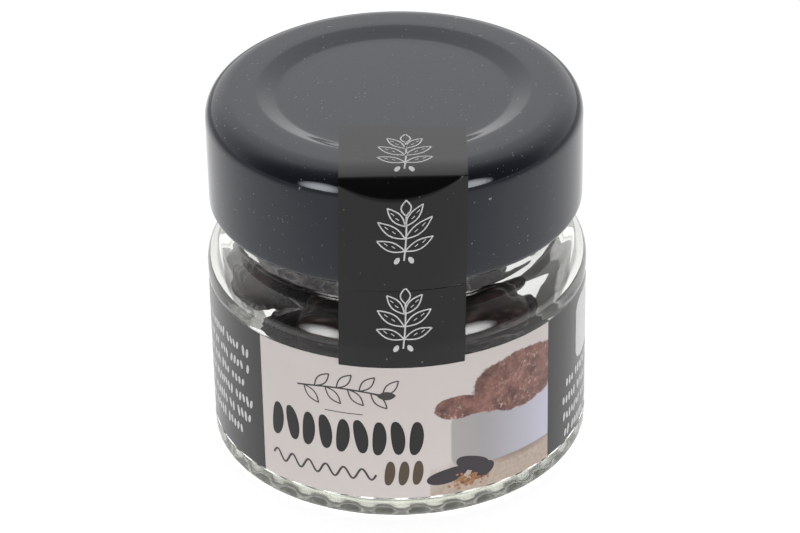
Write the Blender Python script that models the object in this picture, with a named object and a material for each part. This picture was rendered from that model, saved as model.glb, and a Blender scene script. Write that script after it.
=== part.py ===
"""Glass spice jar of tonka beans, with a deep twist-off lid, a label and a paper seal strip.

The jar stands on z = 0 with its axis on Z, and its front faces -Y. The lid turns anticlockwise about Z
and climbs its thread as it opens.
"""
import math
import random

import bmesh
import bpy
import numpy as np
from mathutils import Euler, Matrix, Vector
from mathutils.bvhtree import BVHTree

MM = 0.001
DEGREE = math.pi / 180

# Facets round the axis. The jar's count is three to a base bar.
JAR_SEGMENTS = 96
LID_SEGMENTS = 72
ARC_TOLERANCE = 0.1 * MM
CLEARANCE = 0.3 * MM
ROUNDING = 0.01 * MM
SKIN_GAP = 0.12 * MM

# Jar body
BODY_RADIUS = 24.1 * MM
PANEL_RADIUS = 23.7 * MM
PANEL_LOW = 2.9 * MM
PANEL_HIGH = 23.6 * MM
PANEL_STEP = 0.4 * MM
HEEL_FILLET = 1.5 * MM
INSIDE_RADIUS = 21.9 * MM
FLOOR_HEIGHT = 3.2 * MM
FLOOR_FILLET = 2.6 * MM

# Base: bars round the bearing ring, each one facet flat and two facets of groove
BEARING_INNER = 20.4 * MM
BEARING_SLOPE = 1.2 * MM
GROOVE_DEPTH = 0.35 * MM
PUSH_UP = 1.3 * MM
PUSH_UP_EDGE = 0.78 * MM

# Shoulder: a cone between the body and the neck, well rounded into both, outside and inside
SHOULDER_LOW = 26.75 * MM
SHOULDER_HIGH = 29.51 * MM
SHOULDER_FILLET = 5 * MM
NECK_FILLET = 1.1 * MM
INSIDE_SHOULDER_LOW = 25.68 * MM
INSIDE_SHOULDER_HIGH = 28.29 * MM
INSIDE_SHOULDER_FILLET = 2.9 * MM
INSIDE_NECK_FILLET = 3 * MM

# Neck and thread
NECK_RADIUS = 20.3 * MM
MOUTH_RADIUS = 18.3 * MM
RIM_HEIGHT = 46.5 * MM
RIM_FILLET = 0.8 * MM
THREAD_STARTS = 4
THREAD_LEAD = 5.8 * MM
RIB_RADIUS = 21.35 * MM
RIB_UNDERSIDE = 35.3 * MM
RIB_LOWER_FLANK = 0.6 * MM
RIB_CREST = 0.5 * MM
RIB_UPPER_FLANK = 1.0 * MM
RIB_FROM = -8 * DEGREE
RIB_TO = 52 * DEGREE
RIB_TAPER = 3.6 * DEGREE
RIB_HEIGHT = RIB_LOWER_FLANK + RIB_CREST + RIB_UPPER_FLANK

# Lid
LID_RADIUS = 23.5 * MM
LID_TOP = 48.46 * MM
LID_BOTTOM = 33.3 * MM
LID_SHEET = 0.45 * MM
LID_EDGE_FILLET = 3.28 * MM
RECESS_DEPTH = 0.77 * MM
RECESS_RADIUS = 14.65 * MM
RECESS_RIM_RADIUS = 17.03 * MM
CURL_FILLET = 0.95 * MM
CURL_INNER = 21.95 * MM
CURL_INNER_FILLET = 0.4 * MM
CURL_HEIGHT = 1.6 * MM
CURL_SLOPE = 0.5 * MM
LUG_REACH = 1.1 * MM
LUG_HALF_ANGLE = 5 * DEGREE
LUG_TAPER = 4.9 * DEGREE

# Gasket
GASKET_INNER = 17.5 * MM
GASKET_OUTER = 20.9 * MM
GASKET_THICKNESS = 0.9 * MM

# Label, on the recessed panel
LABEL_INNER = PANEL_RADIUS + SKIN_GAP
LABEL_OUTER = BODY_RADIUS
LABEL_LOW = 3.3 * MM
LABEL_HIGH = 23.3 * MM
LABEL_BACK_GAP = 112.5 * DEGREE

# Seal strip: its middle is a little to the right of the front
SEAL_WIDTH = 15.6 * MM
SEAL_OFFSET = 1.0 * MM
SEAL_THICKNESS = 0.25 * MM
SEAL_END_LEFT = 10.4 * MM
SEAL_END_RIGHT = 11.4 * MM
SEAL_LOW = 22.6 * MM
SEAL_MEETS_BODY = 25.6 * MM
SEAL_COLUMNS = 8

# Beans
BEAN_COUNT = 10
BEAN_LENGTH = (26 * MM, 29.4 * MM)
BEAN_WIDTH = (10.6 * MM, 11.7 * MM)
BEAN_THICKNESS = (7.5 * MM, 8.4 * MM)
BEAN_RINGS = 11
BEAN_SIDES = 16
BEAN_BEND = 1.3 * MM
BEAN_BLUNTNESS = 0.7
BEAN_TAPER = 0.07
WRINKLE_DEPTH = 0.26 * MM
# Two sets of wrinkles: how many go round a bean, their twist from end to end, and their strength
WRINKLES = ((6, 1.4, 1.0), (3, -3.1, 0.8))
BEAN_ROOM = 0.4 * MM
BEAN_SEED = 32
BEAN_TRIES = 200
ROLL_SPREAD = 13 * DEGREE
PITCH_SPREAD = 8 * DEGREE

# Nudges of a bean that has a place: the widest one (x, y, roll, pitch and heading), and the share of
# it that the last and first nudges have. Wall beans are tried and nudged over smaller shares.
NUDGE = (1.5 * MM, 1.5 * MM, 7 * DEGREE, 7 * DEGREE, 8 * DEGREE)
BEAN_NUDGES = 300
NUDGE_SHARES = (0.3, 1)
WALL_BEAN_SHARE = 0.4
WALL_BEAN_TRY_SHARE = 0.6
# Beans that lie against the glass, by number: x, y, roll, pitch and heading of each
WALL_BEANS = {
    9: (-14.2 * MM, -2 * MM, 0, 0, 96 * DEGREE),
    10: (1.5 * MM, -13.6 * MM, 0, 0, 6 * DEGREE),
}


def clear_scene():
    for item in list(bpy.data.objects):
        bpy.data.objects.remove(item)


def make_material(name, colour, roughness, metallic=0.0, transmission=0.0):
    material = bpy.data.materials.new(name)
    material.use_nodes = True
    shader = material.node_tree.nodes["Principled BSDF"]
    shader.inputs["Base Color"].default_value = (*colour, 1)
    shader.inputs["Roughness"].default_value = roughness
    shader.inputs["Metallic"].default_value = metallic
    shader.inputs["Transmission Weight"].default_value = transmission
    return material


def glass_material():
    return make_material("clear_glass", (0.86, 0.9, 0.85), 0.03, transmission=0.95)


def lacquer_material():
    return make_material("black_lacquer", (0.03, 0.03, 0.036), 0.16)


def gasket_material():
    return make_material("gasket_compound", (0.75, 0.74, 0.7), 0.6)


def label_material():
    return make_material("printed_label", (0.11, 0.11, 0.115), 0.45)


def seal_material():
    return make_material("charcoal_paper", (0.05, 0.047, 0.045), 0.55)


def bean_material():
    return make_material("bean_skin", (0.035, 0.019, 0.014), 0.5)


def make_object(name, points, faces, material):
    """Build one closed object, with its faces pointing out and its round stretches smooth."""
    mesh = bpy.data.meshes.new(name)
    mesh.from_pydata([tuple(point) for point in points], [], faces)
    shape = bmesh.new()
    shape.from_mesh(mesh)
    bmesh.ops.recalc_face_normals(shape, faces=shape.faces)
    shape.to_mesh(mesh)
    shape.free()
    mesh.materials.append(material)
    mesh.shade_smooth()
    mesh.set_sharp_from_angle(angle=35 * DEGREE)
    item = bpy.data.objects.new(name, mesh)
    bpy.context.collection.objects.link(item)
    return item


def fillet_arc(before, corner, after, fillet):
    """Points along the arc that rounds one corner of an outline."""
    towards_before = (before - corner).normalized()
    towards_after = (after - corner).normalized()
    half_angle = towards_before.angle(towards_after) / 2
    start = corner + towards_before * fillet / math.tan(half_angle)
    end = corner + towards_after * fillet / math.tan(half_angle)
    centre = corner + (towards_before + towards_after).normalized() * fillet / math.sin(half_angle)
    turn = (start - centre).angle_signed(end - centre)
    step_angle = 2 * math.acos(1 - min(1, ARC_TOLERANCE / fillet))
    steps = max(2, math.ceil(abs(turn) / step_angle))
    spoke = start - centre
    return [centre + Matrix.Rotation(-turn * step / steps, 2) @ spoke for step in range(steps + 1)]


def rounded_outline(corners):
    """Turn corners (radius, height, fillet) into outline points, with an arc at each filleted one."""
    spots = [Vector(corner[:2]) for corner in corners]
    points = []
    for index, (_, _, fillet) in enumerate(corners):
        if fillet and 0 < index < len(corners) - 1:
            points += fillet_arc(spots[index - 1], spots[index], spots[index + 1], fillet)
        else:
            points.append(spots[index])
    return points


def revolve(name, outline, segments, material, closed=False, reshape=None):
    """Turn an outline about Z. reshape moves a point of it, given its radius, height and angle."""
    points = []
    rings = []
    for radius, height in outline:
        count = segments if radius > 0 else 1
        rings.append(range(len(points), len(points) + count))
        for segment in range(count):
            angle = -math.pi / 2 + (segment + 0.5) * 2 * math.pi / segments
            place = (radius, height)
            if reshape:
                place = reshape(radius, height, angle)
            points.append((place[0] * math.cos(angle), place[0] * math.sin(angle), place[1]))
    pairs = list(zip(rings, rings[1:]))
    if closed:
        pairs.append((rings[-1], rings[0]))
    faces = []
    for lower, upper in pairs:
        for segment in range(segments):
            following = (segment + 1) % segments
            ends = (lower[segment % len(lower)], lower[following % len(lower)],
                    upper[following % len(upper)], upper[segment % len(upper)])
            faces.append(tuple(dict.fromkeys(ends)))
    return make_object(name, points, faces, material)


def window(angle, low, high, taper):
    """1 between two angles, 0 outside, with a straight ramp at each end."""
    inside = min(angle - low, high - angle)
    return max(0.0, min(1.0, 1 + inside / taper))


def thread_angle(angle):
    """Angle past the middle of the nearest lug's seat, on the thread that starts there."""
    spacing = 2 * math.pi / THREAD_STARTS
    margin = RIB_TAPER - RIB_FROM
    return (angle - math.pi / 4 + margin) % spacing - margin


def climb_angle(past_seat):
    """Follow the thread along a rib, and come back down to the next rib's start in the gap."""
    if past_seat <= RIB_TO:
        return past_seat
    gap = 2 * math.pi / THREAD_STARTS - (RIB_TO - RIB_FROM)
    return RIB_TO - (past_seat - RIB_TO) * (RIB_TO - RIB_FROM) / gap


def shape_of_jar(radius, height, angle):
    """Grooves between the bars under the base, and the four ribs that climb round the neck."""
    if height < GROOVE_DEPTH / 2:
        bar_facet = round((angle + math.pi / 2) * JAR_SEGMENTS / (2 * math.pi) - 0.5) % 3
        if bar_facet == 1:
            height = GROOVE_DEPTH
    past_seat = thread_angle(angle)
    on_rib = RIB_UNDERSIDE - ROUNDING <= height <= RIB_UNDERSIDE + RIB_HEIGHT + ROUNDING
    if on_rib and radius >= NECK_RADIUS - ROUNDING:
        strength = window(past_seat, RIB_FROM, RIB_TO, RIB_TAPER)
        radius = NECK_RADIUS + (radius - NECK_RADIUS) * strength
        height += THREAD_LEAD * climb_angle(past_seat) / (2 * math.pi)
    return radius, height


def inside_corners():
    """The jar's inner wall from just under the rim to the middle of its floor."""
    return [
        (MOUTH_RADIUS, INSIDE_SHOULDER_HIGH, INSIDE_NECK_FILLET),
        (INSIDE_RADIUS, INSIDE_SHOULDER_LOW, INSIDE_SHOULDER_FILLET),
        (INSIDE_RADIUS, FLOOR_HEIGHT, FLOOR_FILLET),
        (0, FLOOR_HEIGHT, 0),
    ]


def jar_outline():
    base_and_body = [
        (0, PUSH_UP, 0),
        (BEARING_INNER - BEARING_SLOPE, PUSH_UP_EDGE, 0),
        (BEARING_INNER, 0, 0),
        (BODY_RADIUS, 0, HEEL_FILLET),
        (BODY_RADIUS, PANEL_LOW - PANEL_STEP, 0),
        (PANEL_RADIUS, PANEL_LOW, 0),
        (PANEL_RADIUS, PANEL_HIGH, 0),
        (BODY_RADIUS, PANEL_HIGH + PANEL_STEP, 0),
        (BODY_RADIUS, SHOULDER_LOW, SHOULDER_FILLET),
    ]
    neck_and_rim = [
        (NECK_RADIUS, SHOULDER_HIGH, NECK_FILLET),
        (NECK_RADIUS, RIB_UNDERSIDE, 0),
        (RIB_RADIUS, RIB_UNDERSIDE + RIB_LOWER_FLANK, 0),
        (RIB_RADIUS, RIB_UNDERSIDE + RIB_LOWER_FLANK + RIB_CREST, 0),
        (NECK_RADIUS, RIB_UNDERSIDE + RIB_HEIGHT, 0),
        (NECK_RADIUS, RIM_HEIGHT, RIM_FILLET),
        (MOUTH_RADIUS, RIM_HEIGHT, RIM_FILLET),
    ]
    return rounded_outline(base_and_body + neck_and_rim + inside_corners())


def make_jar():
    return revolve("jar", jar_outline(), JAR_SEGMENTS, glass_material(), reshape=shape_of_jar)


def lid_top_corners():
    """The lid's outer surface from its centre to the start of the lower curl."""
    return [
        (0, LID_TOP - RECESS_DEPTH, 0),
        (RECESS_RADIUS, LID_TOP - RECESS_DEPTH, 0),
        (RECESS_RIM_RADIUS, LID_TOP, 0),
        (LID_RADIUS, LID_TOP, LID_EDGE_FILLET),
    ]


def lid_outline():
    curl_top = LID_BOTTOM + CURL_HEIGHT
    curl_and_inside = [
        (LID_RADIUS, LID_BOTTOM, CURL_FILLET),
        (CURL_INNER, LID_BOTTOM, CURL_INNER_FILLET),
        (CURL_INNER, curl_top, 0),
        (LID_RADIUS - LID_SHEET, curl_top + CURL_SLOPE, 0),
        (LID_RADIUS - LID_SHEET, LID_TOP - LID_SHEET, LID_EDGE_FILLET - LID_SHEET),
        (RECESS_RIM_RADIUS + LID_SHEET / 2, LID_TOP - LID_SHEET, 0),
        (RECESS_RADIUS + LID_SHEET / 2, LID_TOP - RECESS_DEPTH - LID_SHEET, 0),
        (0, LID_TOP - RECESS_DEPTH - LID_SHEET, 0),
    ]
    return rounded_outline(lid_top_corners() + curl_and_inside)


def shape_of_lid(radius, height, angle):
    """Press the curl in at the four lugs, which sit under the jar's ribs."""
    if height <= LID_BOTTOM + CURL_HEIGHT and radius < CURL_INNER + CURL_INNER_FILLET + ROUNDING:
        past_seat = thread_angle(angle)
        radius -= LUG_REACH * window(past_seat, -LUG_HALF_ANGLE, LUG_HALF_ANGLE, LUG_TAPER)
    return radius, height


def make_lid():
    return revolve("lid", lid_outline(), LID_SEGMENTS, lacquer_material(), reshape=shape_of_lid)


def make_gasket():
    top = LID_TOP - LID_SHEET - CLEARANCE
    bottom = top - GASKET_THICKNESS
    outline = [(GASKET_INNER, bottom), (GASKET_OUTER, bottom), (GASKET_OUTER, top), (GASKET_INNER, top)]
    return revolve("lid_gasket", outline, LID_SEGMENTS, gasket_material(), closed=True)


def sheet_solid(name, inner, outer, material):
    """Close a sheet from two grids of points, each a list of equal rows."""
    rows = len(inner)
    columns = len(inner[0])
    points = [point for grid in (inner, outer) for row in grid for point in row]

    def at(layer, row, column):
        return (layer * rows + row) * columns + column

    faces = []
    for row in range(rows - 1):
        for column in range(columns - 1):
            for layer in (0, 1):
                quad = (at(layer, row, column), at(layer, row, column + 1),
                        at(layer, row + 1, column + 1), at(layer, row + 1, column))
                faces.append(quad if layer else quad[::-1])
    for row in range(rows - 1):
        for column in (0, columns - 1):
            faces.append((at(0, row, column), at(0, row + 1, column),
                          at(1, row + 1, column), at(1, row, column)))
    for column in range(columns - 1):
        for row in (0, rows - 1):
            faces.append((at(0, row, column), at(0, row, column + 1),
                          at(1, row, column + 1), at(1, row, column)))
    return make_object(name, points, faces, material)


def make_label():
    """Wrap the label round the panel on the jar's own facets, open at the back."""
    facet = 2 * math.pi / JAR_SEGMENTS
    gap_facets = round(LABEL_BACK_GAP / facet)
    first = math.pi / 2 + (gap_facets + 1) / 2 * facet
    grids = []
    for radius in (LABEL_INNER, LABEL_OUTER):
        rows = []
        for height in (LABEL_LOW, LABEL_HIGH):
            angles = [first + column * facet for column in range(JAR_SEGMENTS - gap_facets)]
            rows.append([(radius * math.cos(a), radius * math.sin(a), height) for a in angles])
        grids.append(rows)
    return sheet_solid("label", *grids, label_material())


def offset_path(path, distance):
    """Shift a path (radius, height) to its left by a distance."""
    shifted = []
    for index, point in enumerate(path):
        before = path[max(index - 1, 0)]
        after = path[min(index + 1, len(path) - 1)]
        along_in = (point - before).normalized() if index else (after - point).normalized()
        along_out = (after - point).normalized() if index < len(path) - 1 else along_in
        normal = Vector((-along_in.y - along_out.y, along_in.x + along_out.x)).normalized()
        spread = normal.dot(Vector((-along_in.y, along_in.x)))
        shifted.append(point + normal * distance / spread)
    return shifted


def seal_grid(path, end_at_front):
    """Lay a path (radius, height) on the front of the jar, in columns across the strip."""
    rows = [[] for _ in path]
    for column in range(SEAL_COLUMNS + 1):
        share = column / SEAL_COLUMNS
        across = SEAL_OFFSET + (share - 0.5) * SEAL_WIDTH
        x = LID_RADIUS * math.sin(across / LID_RADIUS)
        end = SEAL_END_LEFT + share * (SEAL_END_RIGHT - SEAL_END_LEFT)
        for row, (radius, height) in zip(rows, path):
            depth = math.sqrt(radius ** 2 - x ** 2) if radius > abs(x) else 0
            if end_at_front and row is rows[0]:
                depth = end
            row.append((x, -depth, height))
    return rows


def make_seal_upper():
    """The part of the strip that lies on the lid, from the recessed disc down to the skirt's edge."""
    path = rounded_outline([
        (SEAL_END_LEFT, LID_TOP - RECESS_DEPTH, 0),
        (RECESS_RIM_RADIUS, LID_TOP, 0),
        (LID_RADIUS, LID_TOP, LID_EDGE_FILLET),
        (LID_RADIUS, LID_BOTTOM, 0),
    ])
    inner = seal_grid(offset_path(path, SKIN_GAP), True)
    outer = seal_grid(offset_path(path, SKIN_GAP + SEAL_THICKNESS), True)
    return sheet_solid("seal_upper", inner, outer, seal_material())


def make_seal_lower():
    """The part of the strip from the lid's edge, free across the neck, to the top of the label."""
    on_lid = LID_RADIUS + SKIN_GAP
    on_body = BODY_RADIUS + SKIN_GAP
    path = [
        Vector((on_lid, LID_BOTTOM - CLEARANCE)),
        Vector((on_body, SEAL_MEETS_BODY)),
        Vector((on_body, SEAL_LOW)),
    ]
    inner = seal_grid(path, False)
    outer = seal_grid(offset_path(path, SEAL_THICKNESS), False)
    return sheet_solid("seal_lower", inner, outer, seal_material())


def fold_at(angle, along, phases):
    """Height of the wrinkles at a place on a bean, about -1.8 to 1.8."""
    return sum(strength * math.sin(count * angle + twist * along + phase)
               for (count, twist, strength), phase in zip(WRINKLES, phases))


def bean_points(size, phases):
    """Points of one wrinkled bean about its middle: long in X, flattened in Z, bowed in Y."""
    length, width, thickness = size
    points = [(-length / 2, 0, 0)]
    for ring in range(1, BEAN_RINGS + 1):
        along = math.pi * ring / (BEAN_RINGS + 1)
        x = -length / 2 * math.cos(along)
        fullness = math.sin(along) ** BEAN_BLUNTNESS * (1 + BEAN_TAPER * math.cos(along))
        bow = BEAN_BEND * (math.sin(along) ** 2 - 0.5)
        for side in range(BEAN_SIDES):
            angle = 2 * math.pi * side / BEAN_SIDES
            swell = WRINKLE_DEPTH * fold_at(angle, along, phases) * fullness
            y = (width / 2 * fullness + swell) * math.cos(angle) + bow
            z = (thickness / 2 * fullness + swell) * math.sin(angle)
            points.append((x, y, z))
    points.append((length / 2, 0, 0))
    return [Vector(point) for point in points]


def bean_faces():
    last = BEAN_RINGS * BEAN_SIDES + 1
    faces = []
    for side in range(BEAN_SIDES):
        following = (side + 1) % BEAN_SIDES
        faces.append((0, 1 + following, 1 + side))
        for ring in range(BEAN_RINGS - 1):
            start = 1 + ring * BEAN_SIDES
            faces.append((start + side, start + following,
                          start + BEAN_SIDES + following, start + BEAN_SIDES + side))
        start = last - BEAN_SIDES
        faces.append((start + side, start + following, last))
    return faces


def fall(points, faces, pile):
    """How far a bean drops before it meets the floor or a bean below."""
    down = Vector((0, 0, -1))
    distance = min(point.z for point in points) - FLOOR_HEIGHT
    tree = BVHTree.FromPolygons(points, faces)
    for other_points, other_tree in pile:
        for point in points:
            hit = other_tree.ray_cast(point, down)
            if hit[0]:
                distance = min(distance, hit[3])
        for point in other_points:
            hit = tree.ray_cast(point, -down)
            if hit[0]:
                distance = min(distance, hit[3])
    return distance


def fits_inside(points):
    """Whether all points are clear of the jar's inner wall."""
    wall = rounded_outline([(MOUTH_RADIUS, RIM_HEIGHT, 0)] + inside_corners())[::-1]
    x, y, z = np.array(points).T
    room = np.interp(z, [spot.y for spot in wall], [spot.x for spot in wall])
    return bool(np.all(np.hypot(x, y) < room - CLEARANCE / 2))


def random_spot(dice):
    """Somewhere in the jar: x, y, roll, pitch and heading."""
    away = (INSIDE_RADIUS - BEAN_WIDTH[0] / 2) * math.sqrt(dice.random())
    bearing = dice.uniform(0, 2 * math.pi)
    turn = (dice.gauss(0, ROLL_SPREAD), dice.gauss(0, PITCH_SPREAD), dice.uniform(0, 2 * math.pi))
    return away * math.cos(bearing), away * math.sin(bearing), *turn


def nudged_spot(spot, dice, share):
    """A spot a little beside another one. share is 1 for the widest nudge."""
    return tuple(value + dice.gauss(0, shift * share) for value, shift in zip(spot, NUDGE))


def drop_at(spot, points, faces, pile):
    """The pose in which a bean that is let go over a spot comes to lie."""
    turn = Euler(spot[2:]).to_matrix().to_4x4()
    start = Matrix.Translation((spot[0], spot[1], RIM_HEIGHT * 2)) @ turn
    distance = fall([start @ point for point in points], faces, pile)
    return Matrix.Translation((0, 0, -distance)) @ start


def place_bean(points, faces, pile, dice, wanted_spot):
    """Drop a bean at many spots, nudge the lowest place found, and return the pose it ends in."""
    best_spot = None
    best_pose = None
    for attempt in range(BEAN_TRIES + BEAN_NUDGES):
        if attempt >= BEAN_TRIES and best_spot:
            share_left = 1 - (attempt - BEAN_TRIES) / BEAN_NUDGES
            share = NUDGE_SHARES[0] + (NUDGE_SHARES[1] - NUDGE_SHARES[0]) * share_left
            spot = nudged_spot(best_spot, dice, share * (WALL_BEAN_SHARE if wanted_spot else 1))
        elif wanted_spot:
            spot = nudged_spot(wanted_spot, dice, WALL_BEAN_TRY_SHARE)
        else:
            spot = random_spot(dice)
        pose = drop_at(spot, points, faces, pile)
        is_lower = best_pose is None or pose.translation.z < best_pose.translation.z
        if is_lower and fits_inside([pose @ point for point in points]):
            best_spot = spot
            best_pose = pose
    return best_pose


def make_beans():
    """Pile the beans in the jar one after another, each clear of the ones below it."""
    dice = random.Random(BEAN_SEED)
    faces = bean_faces()
    material = bean_material()
    pile = []
    for number in range(1, BEAN_COUNT + 1):
        size = [dice.uniform(*limits) for limits in (BEAN_LENGTH, BEAN_WIDTH, BEAN_THICKNESS)]
        phases = [dice.uniform(0, 2 * math.pi) for _ in range(2)]
        roomy_points = bean_points([side + BEAN_ROOM for side in size], phases)
        pose = place_bean(roomy_points, faces, pile, dice, WALL_BEANS.get(number))
        placed_points = [pose @ point for point in roomy_points]
        pile.append((placed_points, BVHTree.FromPolygons(placed_points, faces)))
        bean = make_object(f"bean_{number:02d}", bean_points(size, phases), faces, material)
        bean.matrix_world = pose


def build():
    clear_scene()
    make_jar()
    make_lid()
    make_gasket()
    make_label()
    make_seal_upper()
    make_seal_lower()
    make_beans()


build()
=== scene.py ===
"""Dresses the jar of tonka beans: glass, lacquered lid, printed label, seal strip, beans and studio."""

import math
import random

import bmesh
import bpy
import numpy as np
from mathutils import Matrix, Vector


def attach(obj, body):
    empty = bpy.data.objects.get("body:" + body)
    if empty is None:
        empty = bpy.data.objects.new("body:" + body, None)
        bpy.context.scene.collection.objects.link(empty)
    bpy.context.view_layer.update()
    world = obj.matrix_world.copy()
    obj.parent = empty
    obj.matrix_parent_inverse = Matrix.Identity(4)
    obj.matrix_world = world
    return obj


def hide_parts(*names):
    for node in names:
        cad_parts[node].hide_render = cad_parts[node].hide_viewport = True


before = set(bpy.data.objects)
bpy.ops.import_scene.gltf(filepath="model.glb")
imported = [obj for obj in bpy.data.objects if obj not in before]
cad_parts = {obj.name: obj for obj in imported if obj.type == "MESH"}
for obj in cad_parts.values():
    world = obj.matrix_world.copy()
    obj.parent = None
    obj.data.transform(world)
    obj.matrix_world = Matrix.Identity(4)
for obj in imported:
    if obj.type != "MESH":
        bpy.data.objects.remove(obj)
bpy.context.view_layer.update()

MM = 0.001
DEGREE = math.pi / 180

# Jar, as the CAD has it, with a shoulder a little fuller and flatter towards the neck
BODY_RADIUS = 24.08 * MM
PANEL_RADIUS = 23.7 * MM
PANEL_LOW = 3.25 * MM
PANEL_HIGH = 23.35 * MM
PANEL_STEP = 0.12 * MM
PANEL_FILLET = 0.05 * MM
HEEL_FILLET = 1.5 * MM
SHOULDER_LOW = 26.6 * MM
SHOULDER_FILLET = 4.6 * MM
SHOULDER_BEND = (22 * MM, 28.8 * MM, 2.6 * MM)
SHOULDER_HIGH = 29.45 * MM
NECK_FILLET = 0.8 * MM
INSIDE_RADIUS = 21.9 * MM
INSIDE_SHOULDER_LOW = 25.68 * MM
INSIDE_SHOULDER_HIGH = 28.29 * MM
INSIDE_SHOULDER_FILLET = 2.9 * MM
INSIDE_NECK_FILLET = 3 * MM
FLOOR_HEIGHT = 3.2 * MM
FLOOR_FILLET = 2.6 * MM
BEARING_INNER = 20.4 * MM
BEARING_SLOPE = 1.2 * MM
GROOVE_DEPTH = 0.35 * MM
PUSH_UP = 1.3 * MM
PUSH_UP_EDGE = 0.6 * PUSH_UP
PUSH_UP_FILLET = 1.0 * MM
NECK_RADIUS = 20.3 * MM
MOUTH_RADIUS = 18.3 * MM
RIM_HEIGHT = 46.5 * MM
RIM_FILLET = 0.8 * MM
THREAD_STARTS = 4
THREAD_LEAD = 5.8 * MM
RIB_RADIUS = 21.35 * MM
RIB_UNDERSIDE = 35.3 * MM
RIB_HEIGHT = 2.1 * MM
RIB_LEAN = 0.75
RIB_FROM = -8 * DEGREE
RIB_TO = 52 * DEGREE
RIB_TAPER = 3.6 * DEGREE
BASE_BARS = 32
BAR_STEEPNESS = 3.4
BAR_NARROWING = 1.2
STIPPLED_TO = BODY_RADIUS - 0.5 * MM
STIPPLE_ROUGHNESS = 0.25
GLASS_WAVINESS = 0.04 * MM
JAR_RUN = 0.9 * MM

# Lid, as the CAD has it
LID_RADIUS = 23.5 * MM
LID_TOP = 48.46 * MM
LID_BOTTOM = 33.3 * MM
LID_SHEET = 0.3 * MM
LID_EDGE_FILLET = 3.28 * MM
RECESS_DEPTH = 0.77 * MM
RECESS_RADIUS = 14.65 * MM
RECESS_RIM_RADIUS = 17.03 * MM
RECESS_FILLET = 1.6 * MM
RECESS_RIM_FILLET = 1.2 * MM
RECESS_INSIDE_FILLET = 1.0 * MM
CURL_FILLET = 0.95 * MM
CURL_INNER = 21.95 * MM
CURL_INNER_FILLET = 0.5 * MM
CURL_HEIGHT = 1.6 * MM
CURL_TOP_FILLET = 0.4 * MM
CURL_SLOPE = 0.5 * MM
CURL_SLOPE_FILLET = 0.3 * MM
LUG_REACH = 1.0 * MM
LUG_ROOT = CURL_INNER + 0.4 * MM
LUG_HALF_ANGLE = 5 * DEGREE
LUG_TAPER = 4.5 * DEGREE
LID_RUN = 1.5 * MM

# Label and strip, as the CAD has them
LABEL_LOW = 3.3 * MM
LABEL_HIGH = 23.3 * MM
LABEL_HALF_ANGLE = 123.75 * DEGREE
SEAL_WIDTH = 15.6 * MM
SEAL_OFFSET = 1.0 * MM
SEAL_END_LEFT = 10.4 * MM
SEAL_END_RIGHT = 11.4 * MM
SEAL_LOW = 22.6 * MM
SEAL_PAPER = 0.12 * MM

# Fineness of the turned pieces, and the slack for telling which points to reshape
SEGMENTS = 288
ARC_TOLERANCE = 0.004 * MM
SLACK = 0.1 * MM

# Camera, from the fit to the object's proportions
IMAGE_WIDTH = 800
FOCAL_PIXELS = 3269.6
SENSOR = 36
CAMERA_DISTANCE = 0.4177
CAMERA_ELEVATION = 30.67 * DEGREE
CAMERA_ROLL = -1.1 * DEGREE
CAMERA_AIM = Vector((0.35 * MM, 0, 22.54 * MM))


# ---- mesh tools

def shares(steps):
    """Even steps from 0 to 1."""
    return [step / steps for step in range(steps + 1)]


def new_object(name, data):
    """An object of the scene from a mesh or a camera."""
    item = bpy.data.objects.new(name, data)
    bpy.context.scene.collection.objects.link(item)
    return item


def mesh_object(name, points, faces, materials, slots=None, smooth_angle=40):
    """One object from points and faces. slots gives each face's material index."""
    mesh = bpy.data.meshes.new(name)
    mesh.from_pydata([tuple(point) for point in points], [], faces)
    for material in materials:
        mesh.materials.append(material)
    if slots is not None:
        mesh.polygons.foreach_set("material_index", slots)
    shape = bmesh.new()
    shape.from_mesh(mesh)
    bmesh.ops.recalc_face_normals(shape, faces=shape.faces)
    shape.to_mesh(mesh)
    shape.free()
    mesh.shade_smooth()
    mesh.set_sharp_from_angle(angle=smooth_angle * DEGREE)
    return new_object(name, mesh)


def fillet_arc(before, corner, after, fillet):
    """Points of the arc that rounds a corner between two neighbours."""
    towards_before = (before - corner).normalized()
    towards_after = (after - corner).normalized()
    half_angle = towards_before.angle(towards_after) / 2
    start = corner + towards_before * fillet / math.tan(half_angle)
    end = corner + towards_after * fillet / math.tan(half_angle)
    centre = corner + (towards_before + towards_after).normalized() * fillet / math.sin(half_angle)
    turn = (start - centre).angle_signed(end - centre)
    step_angle = 2 * math.acos(1 - min(1, ARC_TOLERANCE / fillet))
    steps = max(2, math.ceil(abs(turn) / step_angle))
    spoke = start - centre
    return [centre + Matrix.Rotation(-turn * step / steps, 2) @ spoke for step in range(steps + 1)]


def rounded_outline(corners, longest):
    """Outline points from corners (radius, height, fillet), with runs cut to at most a length."""
    spots = [Vector(corner[:2]) for corner in corners]
    points = []
    for index, (_, _, fillet) in enumerate(corners):
        if fillet and 0 < index < len(corners) - 1:
            points += fillet_arc(spots[index - 1], spots[index], spots[index + 1], fillet)
        else:
            points.append(spots[index])
    finer = [points[0]]
    for before, after in zip(points, points[1:]):
        cuts = max(1, math.ceil((after - before).length / longest))
        finer += [before.lerp(after, cut / cuts) for cut in range(1, cuts + 1)]
    return finer


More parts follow.
